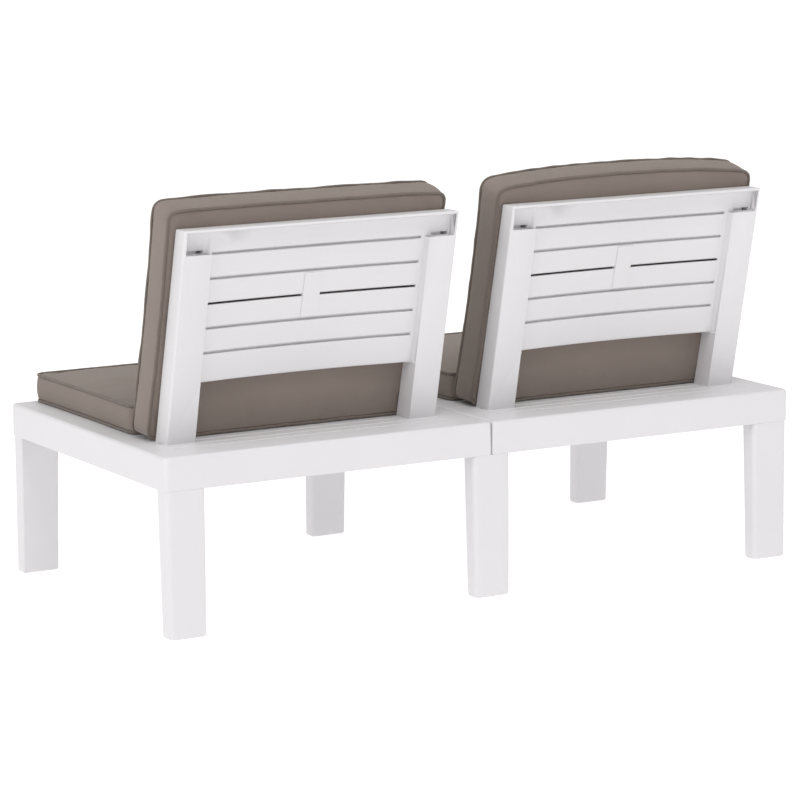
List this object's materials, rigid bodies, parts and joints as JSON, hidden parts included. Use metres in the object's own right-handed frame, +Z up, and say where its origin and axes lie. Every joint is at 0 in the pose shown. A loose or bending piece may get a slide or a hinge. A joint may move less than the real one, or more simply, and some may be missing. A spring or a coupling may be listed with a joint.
{
  "type": "garden bench",
  "caption": "Modular garden bench with moulded decks, tapered legs, slatted backrests and loose boxed seat and back cushions.",
  "frame": {"origin": "on the floor, at the middle of the bench's width and depth", "axes": "+Z up, +X to the sitter's left along the bench, the bench faces -Y"},
  "size_m": [1.18, 0.586, 0.6798],
  "materials": {
    "white_plastic": "satin, fine moulded grain",
    "grey_plastic": "moulded",
    "screw_steel": "zinc plated",
    "cushion_fabric": "woven polyester",
    "piping_fabric": "woven polyester over cord",
    "foam": "open-cell foam",
    "zip_tape": "woven tape with nylon coil",
    "zip_slider_metal": "painted"
  },
  "bodies": {
    "frame": {"deck_left": "white_plastic", "deck_right": "white_plastic", "leg_back_left": "white_plastic", "leg_back_centre": "white_plastic", "leg_back_right": "white_plastic", "leg_front_left": "white_plastic", "leg_front_centre": "white_plastic", "leg_front_right": "white_plastic", "backrest_left": "white_plastic", "backrest_right": "white_plastic", "joining_clip_front": "grey_plastic", "joining_clip_back": "grey_plastic", "leg_screws": "screw_steel", "backrest_screws": "screw_steel"},
    "seat_cushion_left": {"seat_cushion_left_cover": "cushion_fabric", "seat_cushion_left_foam": "foam", "seat_cushion_left_piping_bottom": "piping_fabric", "seat_cushion_left_piping_top": "piping_fabric", "seat_cushion_left_zip": "zip_tape", "seat_cushion_left_zip_slider": "zip_slider_metal"},
    "seat_cushion_right": {"seat_cushion_right_cover": "cushion_fabric", "seat_cushion_right_foam": "foam", "seat_cushion_right_piping_bottom": "piping_fabric", "seat_cushion_right_piping_top": "piping_fabric", "seat_cushion_right_zip": "zip_tape", "seat_cushion_right_zip_slider": "zip_slider_metal"},
    "back_cushion_left": {"back_cushion_left_cover": "cushion_fabric", "back_cushion_left_foam": "foam", "back_cushion_left_piping_front": "piping_fabric", "back_cushion_left_piping_back": "piping_fabric", "back_cushion_left_zip": "zip_tape", "back_cushion_left_zip_slider": "zip_slider_metal"},
    "back_cushion_right": {"back_cushion_right_cover": "cushion_fabric", "back_cushion_right_foam": "foam", "back_cushion_right_piping_front": "piping_fabric", "back_cushion_right_piping_back": "piping_fabric", "back_cushion_right_zip": "zip_tape", "back_cushion_right_zip_slider": "zip_slider_metal"}
  },
  "joints": [
    {"name": "seat_cushion_left_lift", "type": "slide", "parent": "frame", "child": "seat_cushion_left", "axis": [0, 0, 1], "range_m": [0, 0.3]},
    {"name": "seat_cushion_right_lift", "type": "slide", "parent": "frame", "child": "seat_cushion_right", "axis": [0, 0, 1], "range_m": [0, 0.3]},
    {"name": "back_cushion_left_lift", "type": "slide", "parent": "frame", "child": "back_cushion_left", "axis": [0, 0.2416, 0.9704], "range_m": [0, 0.42]},
    {"name": "back_cushion_right_lift", "type": "slide", "parent": "frame", "child": "back_cushion_right", "axis": [0, 0.2416, 0.9704], "range_m": [0, 0.42]}
  ]
}
